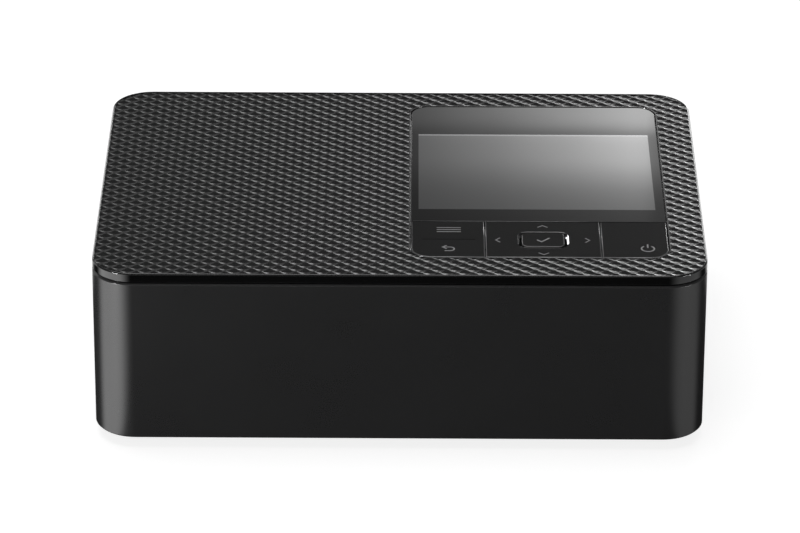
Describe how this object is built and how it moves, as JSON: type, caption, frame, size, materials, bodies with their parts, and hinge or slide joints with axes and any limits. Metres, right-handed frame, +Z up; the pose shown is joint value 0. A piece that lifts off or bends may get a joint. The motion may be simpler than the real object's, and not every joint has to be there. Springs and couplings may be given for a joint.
{
  "type": "compact photo printer",
  "caption": "Compact dye-sublimation photo printer with a hinged wrap-round front cover, tilting keys, a display window, an ink door and a coupled roller and gear train.",
  "frame": {"origin": "on the table under the middle of the body, at the feet's lower faces", "axes": "+X to the right seen from the front, +Y to the rear, +Z up"},
  "size_m": [0.1822, 0.133, 0.0576],
  "materials": {
    "satin_shell": "satin, fine grain",
    "gloss_band": "high gloss",
    "textured_top": "satin, crossed ridge texture",
    "window": "gloss window over the display",
    "keys": "satin",
    "inner_plastic": "matte",
    "ink_plastic": "matte",
    "board": "solder mask",
    "rubber": "matte",
    "plated_steel": "plated",
    "shaft_steel": "ground",
    "lcd": "display",
    "gear_plastic": "moulded",
    "brass": "machined",
    "aluminium": "extruded",
    "ceramic": "glazed",
    "supply_film": "wound film",
    "takeup_film": "wound film",
    "inlet_black": "matte",
    "lever_red": "matte"
  },
  "bodies": {
    "chassis": {"bottom_case": "inner_plastic", "outer_shell": "satin_shell", "top_cover": "gloss_band", "textured_panel": "textured_top", "lcd_window": "window", "lcd_module": "lcd", "key_frame": "inner_plastic", "keypad_mat": "rubber", "key_board": "board", "main_board": "board", "rubber_feet": "rubber", "case_screws": "plated_steel", "front_frame": "inner_plastic", "cassette_tray": "inner_plastic", "left_plate": "plated_steel", "right_plate": "plated_steel", "paper_guide": "inner_plastic", "motor_bracket": "plated_steel", "drive_motor": "plated_steel", "io_board": "board", "card_slot": "plated_steel", "usb_port": "plated_steel", "data_port": "plated_steel", "power_inlet": "inlet_black", "head_shaft": "shaft_steel"},
    "cover": {"front_cover": "satin_shell"},
    "shutter": {"inner_flap": "inner_plastic"},
    "side_door": {"ink_door": "satin_shell"},
    "exit_flap": {"rear_flap": "inner_plastic"},
    "cassette": {"ink_cassette": "ink_plastic", "ink_frame": "ink_plastic", "ink_ribbon": "supply_film"},
    "supply": {"supply_spool": "supply_film"},
    "takeup": {"takeup_spool": "takeup_film"},
    "lever": {"eject_lever": "lever_red"},
    "head": {"thermal_head": "ceramic", "heat_sink": "aluminium", "head_arms": "shaft_steel"},
    "platen": {"platen_shaft": "shaft_steel", "platen_rubber": "rubber", "platen_gear": "gear_plastic"},
    "feed": {"feed_roller": "shaft_steel", "feed_gear": "gear_plastic"},
    "pinch": {"pinch_roller": "rubber"},
    "pickup": {"pickup_roller": "rubber", "pickup_gear": "gear_plastic"},
    "idler": {"idler_gear": "gear_plastic"},
    "motor": {"motor_pinion": "brass"},
    "menu_key": {"key_menu": "keys"},
    "nav_frame": {"nav_pivot": "inner_plastic"},
    "nav_key": {"key_nav": "keys"},
    "ok_key": {"key_ok": "keys"},
    "power_key": {"key_power": "keys"}
  },
  "joints": [
    {"name": "cover_hinge", "type": "hinge", "parent": "chassis", "child": "cover", "pos_m": [0, -0.0605, 0.0086], "axis": [1, 0, 0], "range_deg": [0, 90]},
    {"name": "shutter_hinge", "type": "hinge", "parent": "chassis", "child": "shutter", "pos_m": [0, -0.0574, 0.0402], "axis": [1, 0, 0], "range_deg": [0, 78], "stiffness_Nm_per_rad": 0.002, "springref_deg": -5.73},
    {"name": "ink_door_hinge", "type": "hinge", "parent": "chassis", "child": "side_door", "pos_m": [0.09, 0.0539, 0.03075], "axis": [0, 0, 1], "range_deg": [0, 95]},
    {"name": "exit_flap_hinge", "type": "hinge", "parent": "chassis", "child": "exit_flap", "pos_m": [0, 0.0654, 0.0296], "axis": [1, 0, 0], "range_deg": [0, 70], "stiffness_Nm_per_rad": 0.0005, "springref_deg": -5.73},
    {"name": "cassette_slide", "type": "slide", "parent": "chassis", "child": "cassette", "axis": [1, 0, 0], "range_m": [0, 0.005]},
    {"name": "supply_spin", "type": "hinge", "parent": "cassette", "child": "supply", "pos_m": [0, 0.01, 0.038], "axis": [1, 0, 0], "continuous": true},
    {"name": "takeup_spin", "type": "hinge", "parent": "cassette", "child": "takeup", "pos_m": [0, 0.046, 0.038], "axis": [1, 0, 0], "continuous": true},
    {"name": "eject_lever_hinge", "type": "hinge", "parent": "chassis", "child": "lever", "pos_m": [0.0652, -0.003, 0.032], "axis": [1, 0, 0], "range_deg": [0, 20], "stiffness_Nm_per_rad": 0.01},
    {"name": "head_lift", "type": "hinge", "parent": "chassis", "child": "head", "pos_m": [0, 0.0585, 0.048], "axis": [1, 0, 0], "range_deg": [-2.5, 0], "stiffness_Nm_per_rad": 0.2, "springref_deg": 11.46},
    {"name": "platen_spin", "type": "hinge", "parent": "chassis", "child": "platen", "pos_m": [0, 0.028, 0.018], "axis": [1, 0, 0], "continuous": true},
    {"name": "feed_spin", "type": "hinge", "parent": "chassis", "child": "feed", "pos_m": [0, -0.009, 0.0195], "axis": [1, 0, 0], "continuous": true},
    {"name": "pinch_spin", "type": "hinge", "parent": "chassis", "child": "pinch", "pos_m": [0, -0.009, 0.0298], "axis": [1, 0, 0], "continuous": true},
    {"name": "pickup_spin", "type": "hinge", "parent": "chassis", "child": "pickup", "pos_m": [0, -0.0194, 0.03072], "axis": [1, 0, 0], "continuous": true},
    {"name": "idler_spin", "type": "hinge", "parent": "chassis", "child": "idler", "pos_m": [-0.068, 0.00972, 0.02419], "axis": [1, 0, 0], "continuous": true},
    {"name": "motor_spin", "type": "hinge", "parent": "chassis", "child": "motor", "pos_m": [-0.068, 0.00972, 0.03869], "axis": [1, 0, 0], "continuous": true},
    {"name": "menu_key_tilt", "type": "hinge", "parent": "chassis", "child": "menu_key", "pos_m": [0.01425, -0.0415, 0.0539], "axis": [1, 0, 0], "range_deg": [-2, 2], "stiffness_Nm_per_rad": 0.1},
    {"name": "nav_side_tilt", "type": "hinge", "parent": "chassis", "child": "nav_frame", "pos_m": [0.0427, -0.0415, 0.0539], "axis": [0, 1, 0], "range_deg": [-1.5, 1.5], "stiffness_Nm_per_rad": 0.1},
    {"name": "nav_front_tilt", "type": "hinge", "parent": "nav_frame", "child": "nav_key", "pos_m": [0.0427, -0.0415, 0.0539], "axis": [1, 0, 0], "range_deg": [-2, 2], "stiffness_Nm_per_rad": 0.1},
    {"name": "ok_press", "type": "slide", "parent": "chassis", "child": "ok_key", "axis": [0, 0, -1], "range_m": [0, 0.0005], "stiffness_N_per_m": 300},
    {"name": "power_key_tilt", "type": "hinge", "parent": "chassis", "child": "power_key", "pos_m": [0.0701, -0.0313, 0.0539], "axis": [1, 0, 0], "range_deg": [0, 1.2], "stiffness_Nm_per_rad": 0.1}
  ],
  "couplings": [
    {"joint": "idler_spin", "follows": "platen_spin", "ratio": -1},
    {"joint": "feed_spin", "follows": "platen_spin", "ratio": 1},
    {"joint": "motor_spin", "follows": "platen_spin", "ratio": 2},
    {"joint": "pickup_spin", "follows": "platen_spin", "ratio": -1.7143},
    {"joint": "pinch_spin", "follows": "platen_spin", "ratio": -1.5},
    {"joint": "supply_spin", "follows": "platen_spin", "ratio": -1.1719},
    {"joint": "takeup_spin", "follows": "platen_spin", "ratio": -1.4423}
  ]
}
